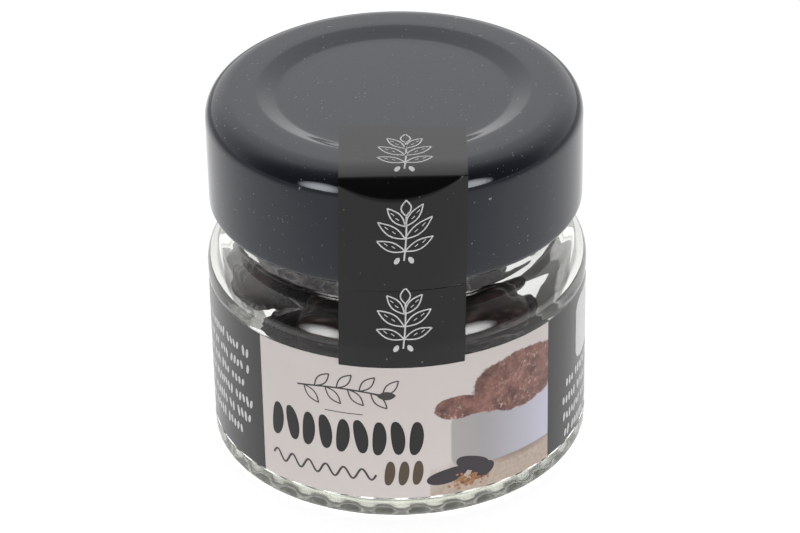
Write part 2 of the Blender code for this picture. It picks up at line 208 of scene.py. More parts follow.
def revolve(name, outline, materials, reshape, slot_of=None):
    """Turn an outline about Z. reshape moves points given radius, height and angle."""
    points = []
    rings = []
    for radius, height in outline:
        count = SEGMENTS if radius > 0 else 1
        rings.append(range(len(points), len(points) + count))
        for segment in range(count):
            angle = -math.pi / 2 + segment * 2 * math.pi / SEGMENTS
            moved_radius, moved_height = reshape(radius, height, angle)
            points.append((moved_radius * math.cos(angle), moved_radius * math.sin(angle), moved_height))
    faces = []
    slots = []
    for index, (lower, upper) in enumerate(zip(rings, rings[1:])):
        for segment in range(SEGMENTS):
            following = (segment + 1) % SEGMENTS
            ends = (lower[segment % len(lower)], lower[following % len(lower)],
                    upper[following % len(upper)], upper[segment % len(upper)])
            faces.append(tuple(dict.fromkeys(ends)))
            slots.append(slot_of(index) if slot_of else 0)
    return mesh_object(name, points, faces, materials, slots)


def window(angle, low, high, taper):
    """1 between two angles, easing to 0 over a taper outside them."""
    inside = min(angle - low, high - angle)
    share = max(0.0, min(1.0, 1 + inside / taper))
    return share * share * (3 - 2 * share)


def thread_angle(angle):
    """The angle past the nearest seat, where a lug meets a rib of the finish."""
    spacing = 2 * math.pi / THREAD_STARTS
    margin = RIB_TAPER - RIB_FROM
    return (angle - spacing / 2 + margin) % spacing - margin


# ---- material tools

class Nodes:
    """Short calls for the nodes of a node tree. A value is a number, a tuple or another node's output."""

    def __init__(self, tree):
        self.tree = tree

    def link(self, value, socket):
        """Give a value to an input."""
        if isinstance(value, bpy.types.NodeSocket):
            self.tree.links.new(value, socket)
        elif isinstance(value, tuple) and len(value) == 3 and len(socket.default_value) == 4:
            socket.default_value = (*value, 1)
        else:
            socket.default_value = value

    def node(self, kind, output=0, settings=None, **inputs):
        """An output of a new node. inputs are named, or numbered as i0, i1 and so on."""
        node = self.tree.nodes.new(kind)
        for key, value in (settings or {}).items():
            setattr(node, key, value)
        for key, value in inputs.items():
            socket = node.inputs[int(key[1:])] if key[0] == "i" and key[1:].isdigit() else node.inputs[key]
            self.link(value, socket)
        return node.outputs[output]

    def math(self, operation, first, second=0.0, clamp=False):
        """One step of arithmetic, kept within 0 to 1 where clamp is set."""
        settings = {"operation": operation, "use_clamp": clamp}
        return self.node("ShaderNodeMath", settings=settings, i0=first, i1=second)

    def split(self, vector):
        """The x, y and z of a vector."""
        node = self.tree.nodes.new("ShaderNodeSeparateXYZ")
        self.link(vector, node.inputs[0])
        return tuple(node.outputs)

    def place(self):
        """The place on the object, in metres."""
        return self.node("ShaderNodeTexCoord", output=3)

    def noise(self, scale, detail=3.0, roughness=0.55):
        """Soft noise from 0 to 1, with scale given in cells a metre."""
        place = self.place()
        return self.node("ShaderNodeTexNoise", Vector=place, Scale=scale, Detail=detail, Roughness=roughness)

    def specks(self, scale, rarity, size, place=None):
        """1 on small round specks: a share of cells given by rarity have none."""
        cells = self.tree.nodes.new("ShaderNodeTexVoronoi")
        self.link(place or self.place(), cells.inputs["Vector"])
        cells.inputs["Scale"].default_value = scale
        chance = self.node("ShaderNodeSeparateColor", Color=cells.outputs["Color"])
        reach = self.math("MULTIPLY", self.math("SUBTRACT", chance, rarity, clamp=True), size / (1 - rarity))
        return self.math("LESS_THAN", cells.outputs["Distance"], reach)

    def stretch(self, factors, turn=0.0):
        """The place turned about Z, then stretched along each axis."""
        point = {"vector_type": "POINT"}
        turned = self.node("ShaderNodeMapping", settings=point, Vector=self.place(), Rotation=(0, 0, turn))
        return self.node("ShaderNodeMapping", settings=point, Vector=turned, Scale=factors)

    def ramp(self, factor, stops):
        """A colour ramp. stops are (position, colour) or (position, grey)."""
        node = self.tree.nodes.new("ShaderNodeValToRGB")
        self.link(factor, node.inputs[0])
        elements = node.color_ramp.elements
        while len(elements) < len(stops):
            elements.new(0.5)
        for element, (position, colour) in zip(elements, stops):
            element.position = position
            grey = not isinstance(colour, tuple)
            element.color = (colour, colour, colour, 1) if grey else (*colour, 1)
        return node.outputs[0]

    def mix(self, factor, first, second):
        """The first colour at factor 0 and the second at 1."""
        node = self.tree.nodes.new("ShaderNodeMix")
        node.data_type = "RGBA"
        self.link(factor, node.inputs[0])
        self.link(first, node.inputs[6])
        self.link(second, node.inputs[7])
        return node.outputs[2]

    def ellipse(self, spots, centre, half_sizes):
        """1 in the middle of an ellipse, 0 on its rim, less outside it."""
        inside = 1.0
        for spot, middle, half in zip(spots, centre, half_sizes):
            away = self.math("DIVIDE", self.math("SUBTRACT", spot, middle), half)
            inside = self.math("SUBTRACT", inside, self.math("MULTIPLY", away, away))
        return inside


class Paint(Nodes):
    """A Principled material. Its sockets are named with _ for a space."""

    def __init__(self, name, **sockets):
        self.material = bpy.data.materials.new(name)
        self.material.use_nodes = True
        super().__init__(self.material.node_tree)
        self.shader = self.tree.nodes["Principled BSDF"]
        for socket, value in sockets.items():
            self.set(socket.replace("_", " "), value)

    def set(self, socket, value):
        """Give a value to one of the shader's inputs."""
        self.link(value, self.shader.inputs[socket])

    def bump(self, height, depth):
        """Fine relief from a height of 0 to 1."""
        normal = self.node("ShaderNodeBump", Strength=1.0, Distance=depth, Height=height)
        self.set("Normal", normal)


# ---- materials

def glass_paint(name, roughness):
    """Glass that greys and greens a little where light runs far through it."""
    paint = Paint(name, Base_Color=(1.0, 1.0, 1.0), Roughness=roughness, IOR=1.5)
    paint.set("Transmission Weight", 1.0)
    paint.bump(paint.noise(180, detail=2.0), GLASS_WAVINESS)
    haze = paint.node("ShaderNodeVolumeAbsorption", Color=(0.75, 0.765, 0.69), Density=90)
    paint.link(haze, paint.tree.nodes["Material Output"].inputs["Volume"])
    return paint.material


def lacquer_paint():
    """Black lacquer with a faint orange peel, fine pale dust, hairs and a few crumbs."""
    paint = Paint("black_lacquer", Roughness=0.07, IOR=1.53, Specular_Tint=(0.88, 0.93, 1.0))
    patchy = paint.ramp(paint.noise(130, detail=2.0), [(0.38, 0.25), (0.6, 1.0)])
    fine = paint.specks(1700, 0.35, 0.16)
    hairs = paint.specks(520, 0.55, 0.11, place=paint.stretch((0.5, 3.4, 1.0)))
    strays = paint.specks(520, 0.7, 0.11, place=paint.stretch((3.4, 0.5, 1.0), turn=0.9))
    dust = paint.math("MAXIMUM", fine, paint.math("MAXIMUM", hairs, strays))
    crumbs = paint.math("MULTIPLY", paint.specks(300, 0.86, 0.07), 1.4)
    marks = paint.math("MAXIMUM", paint.math("MULTIPLY", dust, patchy), crumbs)
    marks = paint.math("MULTIPLY", marks, 0.5)
    paint.set("Base Color", paint.mix(marks, (0.0068, 0.0072, 0.0125), (0.5, 0.5, 0.52)))
    paint.bump(paint.noise(900, detail=2.0), 0.0007 * MM)
    return paint.material


def gasket_paint():
    """Pale cast sealing compound."""
    paint = Paint("gasket_compound", Roughness=0.6)
    mottle = paint.noise(500)
    paint.set("Base Color", paint.mix(mottle, (0.66, 0.65, 0.6), (0.78, 0.77, 0.73)))
    paint.bump(mottle, 0.02 * MM)
    return paint.material


def label_dark_paint():
    """The label's charcoal print."""
    paint = Paint("label_dark", Roughness=0.24, IOR=1.5)
    grain = paint.noise(1500, detail=2.0)
    paint.set("Base Color", paint.mix(grain, (0.016, 0.016, 0.017), (0.024, 0.024, 0.025)))
    paint.bump(grain, 0.002 * MM)
    return paint.material


def cream_colour(paint):
    """The cream of the label's front, faintly clouded."""
    cloud = paint.noise(120, detail=4.0)
    return paint.mix(cloud, (0.615, 0.56, 0.54), (0.665, 0.61, 0.59))


def label_cream_paint():
    """The label's cream print."""
    paint = Paint("label_cream", Roughness=0.28, IOR=1.5)
    paint.set("Base Color", cream_colour(paint))
    paint.bump(paint.noise(1500, detail=2.0), 0.002 * MM)
    return paint.material


# The picture's shapes as (centre, half sizes), in millimetres across from the front's middle and up
SAND = ((15, 1.5), (16, 7.6))
BLOCK_SHADE = ((16.4, 7.4), (10.6, 1.6))
BLOCK = ((16.6, 11.2), (10.4, 4.4))
BLOCK_LIT_FROM = 5.5
BLOCK_LIT_OVER = 15
COCOA_HEAPS = (((16.4, 17.4), (7.4, 4.2)), ((7.3, 15.9), (3.1, 1.7)), ((13.5, 15.8), (8.4, 1.5)))


def picture_paint():
    """The printed picture: two heaps of cocoa on a pale stone block, on sand, before cream."""
    paint = Paint("label_picture", Roughness=0.28, IOR=1.5)
    x, y, z = paint.split(paint.place())
    angle = paint.math("ARCTAN2", x, paint.math("MULTIPLY", y, -1.0))
    across = paint.math("MULTIPLY", angle, BODY_RADIUS / MM)
    height = paint.math("MULTIPLY", z, 1 / MM)
    rough = paint.math("SUBTRACT", paint.noise(700, detail=5.0, roughness=0.75), 0.5)
    smooth = paint.math("SUBTRACT", paint.noise(150, detail=2.0), 0.5)

    def blob(centre, half_sizes, squareness, wobble, amount):
        """1 in the middle of a rounded shape, 0 on its rim, less outside it."""
        inside = 1.0
        for place, middle, half in zip((across, height), centre, half_sizes):
            away = paint.math("ABSOLUTE", paint.math("DIVIDE", paint.math("SUBTRACT", place, middle), half))
            inside = paint.math("SUBTRACT", inside, paint.math("POWER", away, squareness))
        return paint.math("ADD", inside, paint.math("MULTIPLY", wobble, amount))

    def cover(inside, softness):
        """1 well inside a shape and 0 outside it."""
        return paint.math("DIVIDE", inside, softness, clamp=True)

    grains = paint.noise(1500, detail=3.0, roughness=0.8)
    sand = paint.ramp(grains, [(0.35, (0.43, 0.33, 0.27)), (0.65, (0.53, 0.44, 0.37))])
    colour = paint.mix(cover(blob(*SAND, 2, smooth, 0.8), 0.55), cream_colour(paint), sand)
    colour = paint.mix(cover(blob(*BLOCK_SHADE, 2, smooth, 0.3), 1.2), colour, (0.24, 0.17, 0.14))
    stone_light = cover(paint.math("SUBTRACT", across, BLOCK_LIT_FROM), BLOCK_LIT_OVER)
    stone = paint.ramp(stone_light, [
        (0, (0.41, 0.385, 0.37)), (0.35, (0.37, 0.355, 0.365)), (1, (0.56, 0.55, 0.66))])
    colour = paint.mix(cover(blob(*BLOCK, 7, smooth, 0.12), 0.16), colour, stone)
    fleck = paint.ramp(grains, [(0.52, 0.0), (0.66, 1.0)])
    patchy = paint.ramp(paint.noise(260, detail=3.0), [(0.45, 0.15), (0.62, 0.9)])
    cocoa = paint.ramp(paint.noise(420, detail=5.0, roughness=0.7), [
        (0.34, (0.075, 0.032, 0.026)), (0.5, (0.2, 0.085, 0.065)), (0.64, (0.31, 0.14, 0.115))])
    cocoa = paint.mix(paint.math("MULTIPLY", fleck, patchy), cocoa, (0.62, 0.42, 0.36))
    for heap in COCOA_HEAPS:
        colour = paint.mix(cover(blob(*heap, 2.2, rough, 0.75), 0.12), colour, cocoa)
    paint.set("Base Color", colour)
    paint.bump(paint.noise(1500, detail=2.0), 0.002 * MM)
    return paint.material


def paper_edge_paint():
    """The label's white back and edges."""
    paint = Paint("paper_edge", Roughness=0.7)
    fibres = paint.noise(3000)
    paint.set("Base Color", paint.mix(fibres, (0.62, 0.62, 0.6), (0.74, 0.74, 0.72)))
    return paint.material


def seal_edge_paint():
    """The strip's cut edge, pale where its fibres show."""
    paint = Paint("seal_edge", Roughness=0.7)
    fibres = paint.ramp(paint.noise(2000), [(0.4, 0), (0.6, 1)])
    paint.set("Base Color", paint.mix(fibres, (0.06, 0.06, 0.06), (0.55, 0.55, 0.55)))
    return paint.material


def seal_paint():
    """Charcoal film with a fine grain, and dust in patches."""
    paint = Paint("charcoal_paper", Roughness=0.14, IOR=1.5)
    grain = paint.noise(2500, detail=3.0)
    colour = paint.mix(grain, (0.0008, 0.0006, 0.0007), (0.0022, 0.0018, 0.002))
    patchy = paint.ramp(paint.noise(150, detail=2.0), [(0.42, 0.1), (0.6, 0.5)])
    dust = paint.math("MAXIMUM", paint.specks(1300, 0.6, 0.12), paint.specks(700, 0.85, 0.12))
    paint.set("Base Color", paint.mix(paint.math("MULTIPLY", dust, patchy), colour, (0.25, 0.25, 0.25)))
    paint.bump(grain, 0.0015 * MM)
    return paint.material


def ink_paint(name, colour):
    """Printing ink with a faint grain."""
    paint = Paint(name, Roughness=0.3, IOR=1.5)
    grain = paint.noise(2200, detail=2.0)
    darker = tuple(channel * 0.86 for channel in colour)
    paint.set("Base Color", paint.mix(grain, darker, colour))
    return paint.material


def bean_paint():
    """Oily near-black skin, browner in patches."""
    paint = Paint("bean_skin", Roughness=0.36, IOR=1.33, Specular_Tint=(1.0, 0.72, 0.68))
    patches = paint.noise(260, detail=5.0, roughness=0.65)
    stops = [(0.35, (0.002, 0.0008, 0.0006)), (0.55, (0.016, 0.004, 0.003)), (0.75, (0.06, 0.014, 0.01))]
    paint.set("Base Color", paint.ramp(patches, stops))
    paint.bump(paint.noise(700, detail=4.0, roughness=0.6), 0.09 * MM)
    return paint.material


# ---- jar

def jar_outline():
    """The glass in section, from the middle of the underside round to the middle of the floor."""
    lower = [
        (0, PUSH_UP, 0),
        (BEARING_INNER - BEARING_SLOPE, PUSH_UP_EDGE, PUSH_UP_FILLET),
        (BEARING_INNER, 0, 0),
        (BODY_RADIUS, 0, HEEL_FILLET),
        (BODY_RADIUS, PANEL_LOW - PANEL_STEP, PANEL_FILLET),
        (PANEL_RADIUS, PANEL_LOW, PANEL_FILLET),
        (PANEL_RADIUS, PANEL_HIGH, PANEL_FILLET),
        (BODY_RADIUS, PANEL_HIGH + PANEL_STEP, PANEL_FILLET),
        (BODY_RADIUS, SHOULDER_LOW, SHOULDER_FILLET),
        SHOULDER_BEND,
        (NECK_RADIUS, SHOULDER_HIGH, NECK_FILLET),
    ]
    upper = [
        (NECK_RADIUS, RIM_HEIGHT, RIM_FILLET),
        (MOUTH_RADIUS, RIM_HEIGHT, RIM_FILLET),
        (MOUTH_RADIUS, INSIDE_SHOULDER_HIGH, INSIDE_NECK_FILLET),
        (INSIDE_RADIUS, INSIDE_SHOULDER_LOW, INSIDE_SHOULDER_FILLET),
        (INSIDE_RADIUS, FLOOR_HEIGHT, FLOOR_FILLET),
        (0, FLOOR_HEIGHT, 0),
    ]
    return rounded_outline(lower + upper, JAR_RUN)


def shape_of_jar(radius, height, angle):
    """Bars under the base and the ribs of the finish."""
    if radius > BEARING_INNER - SLACK and height < GROOVE_DEPTH:
        wave = 0.5 - 0.5 * math.cos(BASE_BARS * (angle + math.pi / 2))
        groove = max(0.0, min(1.0, wave * BAR_STEEPNESS - BAR_NARROWING))
        height += (GROOVE_DEPTH - height) * groove
    past_seat = thread_angle(angle)
    climb = THREAD_LEAD * past_seat / (2 * math.pi)
    above = (height - RIB_UNDERSIDE - climb) / RIB_HEIGHT
    if 0 < above < 1 and abs(radius - NECK_RADIUS) < SLACK:
        bulge = math.sin(math.pi * above ** RIB_LEAN)
        radius += (RIB_RADIUS - NECK_RADIUS) * bulge * window(past_seat, RIB_FROM, RIB_TO, RIB_TAPER)
    return radius, height


def make_jar():
    """The glass, clear but for a stippled underside."""
    outline = jar_outline()
    materials = [glass_paint("clear_glass", 0.0), glass_paint("stippled_glass", STIPPLE_ROUGHNESS)]

    def slot_of(index):
        return 1 if outline[index].x < STIPPLED_TO and outline[index].y < FLOOR_HEIGHT / 2 else 0

    jar = revolve("glass_jar", outline, materials, shape_of_jar, slot_of)
    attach(jar, "base")
    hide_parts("jar")


# ---- lid

def lid_outline():
    """The lid in section, from the middle of its top round to the middle of its underside."""
    inside_radius = LID_RADIUS - LID_SHEET
    curl_top = LID_BOTTOM + CURL_HEIGHT
    corners = [
        (0, LID_TOP - RECESS_DEPTH, 0),
        (RECESS_RADIUS, LID_TOP - RECESS_DEPTH, RECESS_FILLET),
        (RECESS_RIM_RADIUS, LID_TOP, RECESS_RIM_FILLET),
        (LID_RADIUS, LID_TOP, LID_EDGE_FILLET),
        (LID_RADIUS, LID_BOTTOM, CURL_FILLET),
        (CURL_INNER, LID_BOTTOM, CURL_INNER_FILLET),
        (CURL_INNER, curl_top, CURL_TOP_FILLET),
        (inside_radius, curl_top + CURL_SLOPE, CURL_SLOPE_FILLET),
        (inside_radius, LID_TOP - LID_SHEET, LID_EDGE_FILLET - LID_SHEET),
        (RECESS_RIM_RADIUS + LID_SHEET / 2, LID_TOP - LID_SHEET, RECESS_INSIDE_FILLET),
        (RECESS_RADIUS + LID_SHEET / 2, LID_TOP - RECESS_DEPTH - LID_SHEET, RECESS_INSIDE_FILLET),
        (0, LID_TOP - RECESS_DEPTH - LID_SHEET, 0),
    ]
    return rounded_outline(corners, LID_RUN)


def shape_of_lid(radius, height, angle):
    """The lugs on the inside of the curl."""
    if height <= LID_BOTTOM + CURL_HEIGHT and radius < LUG_ROOT:
        past_seat = thread_angle(angle)
        radius -= LUG_REACH * window(past_seat, -LUG_HALF_ANGLE, LUG_HALF_ANGLE, LUG_TAPER)
    return radius, height


def make_lid():
    """The lid's lacquered sheet, with its curl and lugs."""
    lid = revolve("lacquered_lid", lid_outline(), [lacquer_paint()], shape_of_lid)
    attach(lid, "cap")
    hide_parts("lid")


def make_gasket():
    """The CAD's gasket in its compound."""
    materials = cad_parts["lid_gasket"].data.materials
    materials.clear()
    materials.append(gasket_paint())


# ---- sheets

def sheet_faces(height, width, start=0):
    """Faces of a thin closed sheet between two grids of points, each as (where, index, corners).

    where is "back" or "front" with the face's column, "side", or "end" with 0 for the first.
    """

    def at(layer, row, column):
        return start + (layer * height + row) * width + column

    for row in range(height - 1):
        for column in range(width - 1):
            for layer, where in enumerate(("back", "front")):
                yield where, column, (at(layer, row, column), at(layer, row, column + 1),
                                      at(layer, row + 1, column + 1), at(layer, row + 1, column))
    for row in range(height - 1):
        for column in (0, width - 1):
            yield "side", column, (at(0, row, column), at(0, row + 1, column),
                                   at(1, row + 1, column), at(1, row, column))
    for column in range(width - 1):
        for end, row in enumerate((0, height - 1)):
            yield "end", end, (at(0, row, column), at(0, row, column + 1),
                               at(1, row, column + 1), at(1, row, column))


def sheet_mesh(name, rows, thickness, materials, slot_of=None, end_slots=(1, 1)):
    """A closed thin sheet from a grid of (point, outward normal) rows.

    Slot 1 is the bare paper of its back and its cut sides, slot_of gives the front's slot
    and end_slots the slots of its first and last ends.
    """
    points = []
    for layer in (0, 1):
        for row in rows:
            points += [point + normal * thickness * layer for point, normal in row]
    faces = []
    slots = []
    for where, index, corners in sheet_faces(len(rows), len(rows[0])):
        faces.append(corners)
        if where == "front":
            slots.append(slot_of(index) if slot_of else 0)
        else:
            slots.append(end_slots[index] if where == "end" else 1)
    return mesh_object(name, points, faces, materials, slots, smooth_angle=50)


def on_cylinder(across, height, radius):
    """A point and its outward normal on a cylinder, from the arc to the right of the front."""
    angle = across / radius
    normal = Vector((math.sin(angle), -math.cos(angle), 0))
    return normal * radius + Vector((0, 0, height)), normal


# ---- prints

INK_LIFT = 0.003 * MM
INK_FILM = 0.008 * MM

# Prints are laid out in millimetres
INK_CUT = 0.6
INK_TIP = 0.004
LEAF_STEPS = 8


class Print:
    """Thin closed patches of ink laid on a curved surface, gathered into one piece.

    surface turns (across, along), in millimetres, into a point and its outward normal.
    """

    def __init__(self, surface):
        self.surface = surface
        self.points = []
        self.faces = []

    def patch(self, grid):
        """A patch from rows of (across, along) spots."""
        start = len(self.points)
        for lift in (INK_LIFT, INK_LIFT + INK_FILM):
            for row in grid:
                for spot in row:
                    point, normal = self.surface(*spot)
                    self.points.append(point + normal * lift)
        self.faces += [corners for _, _, corners in sheet_faces(len(grid), len(grid[0]), start)]

    def ribbon(self, spine, half_widths):
        """A patch as wide as twice half_widths along a spine of (across, along) spots."""
        rows = []
        for index, (spot, half) in enumerate(zip(spine, half_widths)):
            before = Vector(spine[max(index - 1, 0)])
            after = Vector(spine[min(index + 1, len(spine) - 1)])
            along = (after - before).normalized()
            rows.append((Vector(spot), Vector((-along.y, along.x)) * half))
        cuts = max(2, math.ceil(2 * max(half_widths) / INK_CUT))
        ways = [2 * share - 1 for share in shares(cuts)]
        self.patch([[tuple(spot + reach * way) for way in ways] for spot, reach in rows])

    def stroke(self, spine, width):
        """A line of one width along a spine."""
        self.ribbon(spine, [width / 2] * len(spine))

    def oval(self, centre, length, width, lean=0.0, bend=0.0, blunt=0.5, count=12):
        """A bean, leaf or dot. lean turns it from upright, clockwise."""
        along = Vector((math.sin(lean), math.cos(lean)))
        side = Vector((along.y, -along.x))
        spine = []
        halves = []
        for step in range(count + 1):
            share = -math.cos(math.pi * step / count)
            spot = Vector(centre) + along * share * length / 2 + side * bend * (1 - share ** 2)
            spine.append(tuple(spot))
            halves.append(max((1 - share ** 2) ** blunt * width / 2, INK_TIP))
        self.ribbon(spine, halves)

    def lens(self, base, length, width, lean, line):
        """The outline of a leaf from its base: two thin arcs that meet at its tip."""
        along = Vector((math.sin(lean), math.cos(lean)))
        side = Vector((along.y, -along.x))
        for way in (-1, 1):
            spine = []
            for share in shares(LEAF_STEPS):
                spot = Vector(base) + along * share * length
                spine.append(tuple(spot + side * way * width / 2 * math.sin(math.pi * share)))
            self.stroke(spine, line)

    def finish(self, name, material, body):
        """The patches as one piece that rides on a body."""
        piece = mesh_object(name, self.points, self.faces, [material])
        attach(piece, body)


# ---- label

PANEL_LEFT = -18.9 * MM
PICTURE_LEFT = 3.6 * MM
PANEL_RIGHT = 21.1 * MM
LABEL_OUTSIDE = BODY_RADIUS - 0.03 * MM
LABEL_FILM = 0.1 * MM
LABEL_RUN = 0.5 * MM
LABEL_ROWS = 6
DARK_SLOT = 0
CREAM_SLOT = 2
PICTURE_SLOT = 3

# Layout of the prints in millimetres, across from the front's middle and up from the base.
# Leaves, buds and beans are (length, width) or (length, width, lean), with leans in radians.
SPRIG_LEFT = -13.2
SPRIG_LENGTH = 11.6
SPRIG_HEIGHT = 18.3
SPRIG_RISE = 0.7
SPRIG_STEPS = 24
SPRIG_STEM = 0.22
SPRIG_LEAF = (2.9, 1.15)
SPRIG_LEANS = (2.4, 0.75)
SPRIG_BUD = (2.3, 1.2, 1.5)
LEAF_LINE = 0.18
RULE_LEFT = -9.5
RULE_LENGTH = 4.9
RULE_HEIGHT = 15.5
RULE_LINE = 0.12
ROW_COUNT = 9
ROW_LEFT = -16.6
ROW_PITCH = 2.3
ROW_HEIGHT = 12.1
ROW_STAGGER = 0.12
ROW_LEANS = (0.1, -0.14, 0.06, -0.08)
ROW_BEAN = (4.9, 1.75)
ROW_BEND = 0.22
WAVE_LEFT = -17.3
WAVE_LENGTH = 14.2
WAVE_HEIGHT = 6.7
WAVE_RISE = 0.75
WAVE_COUNT = 6
WAVE_LINE = 0.28
BROWN_COUNT = 3
BROWN_LEFT = -1.5
BROWN_PITCH = 1.75
BROWN_HEIGHT = 7.0
BROWN_BEAN = (3.6, 1.3, 0.12)
BROWN_BEND = 0.12
BEAN_BLUNT = 0.42
PODS = ((5.8, 6.2, 5.4, 1.35), (9.2, 7.4, 4.6, 1.9), (10.4, 6.0, 3.4, 1.2))
POD_WIDTH = 2.1
CRUMB_COUNT = 70
CRUMB_MIDDLE = (8.4, 4.9)
CRUMB_SPREAD = (1.1, 0.4)
CRUMB_LENGTHS = (0.25, 0.6)
CRUMB_FLATNESS = (0.5, 0.9)
SEED_ROW_PITCH = 2.45
SEED_PITCH = 0.82
SEED_GAP = 0.55
SEED_CLUMP = (2, 7)
SEED_JOG = 0.12
SEED_LENGTHS = (1.1, 1.6)
SEED_WIDTH = 0.52
SEED_LEAN = 0.3
PLATE_LEFT = 28.7
PLATE_WIDTH = 10
PLATE_LOW = 13.2
PLATE_HIGH = 22.2
PLATE_CORNER = 2.0


def on_label(across, height):
    """The point and outward normal at a place on the label, given in millimetres."""
    return on_cylinder(across * MM, height * MM, LABEL_OUTSIDE)


def make_label():
    """The label's sheet: dark at its sides, with a cream panel and the picture in front."""
    radius = LABEL_OUTSIDE - LABEL_FILM
    half = LABEL_HALF_ANGLE * radius
    marks = [-half, PANEL_LEFT, PICTURE_LEFT, PANEL_RIGHT, half]
    columns = [marks[0]]
    zone = []
    for start, end, slot in zip(marks, marks[1:], (DARK_SLOT, CREAM_SLOT, PICTURE_SLOT, DARK_SLOT)):
        count = math.ceil((end - start) / LABEL_RUN)
        columns += [start + (end - start) * step / count for step in range(1, count + 1)]
        zone += [slot] * count
    heights = [LABEL_LOW + (LABEL_HIGH - LABEL_LOW) * share for share in shares(LABEL_ROWS)]
    rows = [[on_cylinder(across, height, radius) for across in columns] for height in heights]
    materials = [label_dark_paint(), paper_edge_paint(), label_cream_paint(), picture_paint()]
    label = sheet_mesh("printed_label", rows, LABEL_FILM, materials, slot_of=lambda column: zone[column])
    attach(label, "base")
    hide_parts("label")


def print_bean_row():
    """A row of dark beans across the cream, each with its own lean."""
    ink = Print(on_label)
    for number in range(ROW_COUNT):
        centre = (ROW_LEFT + ROW_PITCH * number, ROW_HEIGHT + ROW_STAGGER * (number % 2))
        lean = ROW_LEANS[number % len(ROW_LEANS)]
        ink.oval(centre, *ROW_BEAN, lean, bend=ROW_BEND, blunt=BEAN_BLUNT)
    ink.finish("label_print_beans", ink_paint("print_black", (0.004, 0.0035, 0.0035)), "base")


def print_lines():
    """A sprig over a thin rule at the top of the cream, and a wavy line at its foot."""
    ink = Print(on_label)
    stem = [(SPRIG_LEFT + SPRIG_LENGTH * share, SPRIG_HEIGHT + SPRIG_RISE * math.sin(3 * share))
            for share in shares(SPRIG_STEPS)]
    ink.stroke(stem, SPRIG_STEM)
    for index in range(2, SPRIG_STEPS, 3):
        ink.lens(stem[index], *SPRIG_LEAF, SPRIG_LEANS[index % 2], LEAF_LINE)
    ink.oval(stem[-1], *SPRIG_BUD, blunt=0.8)
    ink.stroke([(RULE_LEFT + RULE_LENGTH * share, RULE_HEIGHT) for share in shares(8)], RULE_LINE)
    turns = 2 * math.pi * WAVE_COUNT
    wave = [(WAVE_LEFT + WAVE_LENGTH * share, WAVE_HEIGHT + WAVE_RISE * math.sin(share * turns))
            for share in shares(20 * WAVE_COUNT)]
    ink.stroke(wave, WAVE_LINE)
    ink.finish("label_print_lines", ink_paint("print_grey", (0.045, 0.04, 0.04)), "base")


def print_brown_beans():
    """Three brown beans at the end of the wavy line."""
    ink = Print(on_label)
    for number in range(BROWN_COUNT):
        centre = (BROWN_LEFT + BROWN_PITCH * number, BROWN_HEIGHT)
        ink.oval(centre, *BROWN_BEAN, bend=BROWN_BEND, blunt=BEAN_BLUNT)
    ink.finish("label_print_brown", ink_paint("print_brown", (0.085, 0.055, 0.028)), "base")


def print_picture():
    """On the picture: dark pods, and crumbs before them."""
    dark = Print(on_label)
    for across, height, length, lean in PODS:
        dark.oval((across, height), length, POD_WIDTH, lean, bend=0.2, blunt=0.45)
    pale = Print(on_label)
    dice = random.Random(5)
    for _ in range(CRUMB_COUNT):
        centre = [middle + dice.gauss(0, spread) for middle, spread in zip(CRUMB_MIDDLE, CRUMB_SPREAD)]
        length = dice.uniform(*CRUMB_LENGTHS)
        pale.oval(centre, length, length * dice.uniform(*CRUMB_FLATNESS), dice.uniform(0, 3))
    dark.finish("label_print_pods", ink_paint("print_plum", (0.035, 0.026, 0.034)), "base")
    pale.finish("label_print_crumbs", ink_paint("print_tan", (0.42, 0.2, 0.09)), "base")


def seed_rows(ink, dice, start, end, top, count):
    """Rows of small upright seeds, strewn in clumps between two places across the label."""
    for row in range(count):
        across = start + dice.uniform(0, 1.5)
        stop = end - dice.uniform(0, 3) * (row % 3 == 2)
        while across < stop:
            for _ in range(dice.randint(*SEED_CLUMP)):
                if across < stop:
                    height = top - row * SEED_ROW_PITCH + dice.uniform(-SEED_JOG, SEED_JOG)
                    length = dice.uniform(*SEED_LENGTHS)
                    lean = dice.uniform(-SEED_LEAN, SEED_LEAN)
                    ink.oval((across, height), length, SEED_WIDTH, lean, blunt=0.4, count=6)
                across += SEED_PITCH
            across += SEED_GAP


def plate_row(height):
    """Spots across the plate at a height, drawn in where its corners are round."""
    edge = min(height - PLATE_LOW, PLATE_HIGH - height, PLATE_CORNER)
    inset = PLATE_CORNER - math.sqrt(PLATE_CORNER ** 2 - (PLATE_CORNER - edge) ** 2)
    return [(PLATE_LEFT + inset + (PLATE_WIDTH - 2 * inset) * share, height) for share in shares(20)]


def print_sides():
    """On the dark sides: rows of white seeds, and a bare white plate on the right."""
    ink = Print(on_label)
    dice = random.Random(11)
    seed_rows(ink, dice, start=-38, end=-21.3, top=19.3, count=6)
    seed_rows(ink, dice, start=24.6, end=37, top=11.9, count=4)
    ink.patch([plate_row(PLATE_LOW + (PLATE_HIGH - PLATE_LOW) * share) for share in shares(24)])
    ink.finish("label_print_white", ink_paint("print_white", (0.62, 0.62, 0.62)), "base")


# ---- seal strip

SEAL_TOP_RADIUS = LID_RADIUS + 0.16 * MM
SEAL_FOOT_RADIUS = BODY_RADIUS + 0.1 * MM
SEAL_LIFT = 0.06 * MM
SEAL_DRIFT = -0.62 * MM
SEAL_PARTING = LID_BOTTOM - 0.13 * MM
SEAL_GAP = 0.06 * MM
SEAL_MEETS_BODY = 25.6 * MM
SEAL_EASE = 6 * MM
SEAL_COLUMNS = 40
NECK_RUN = 0.4 * MM

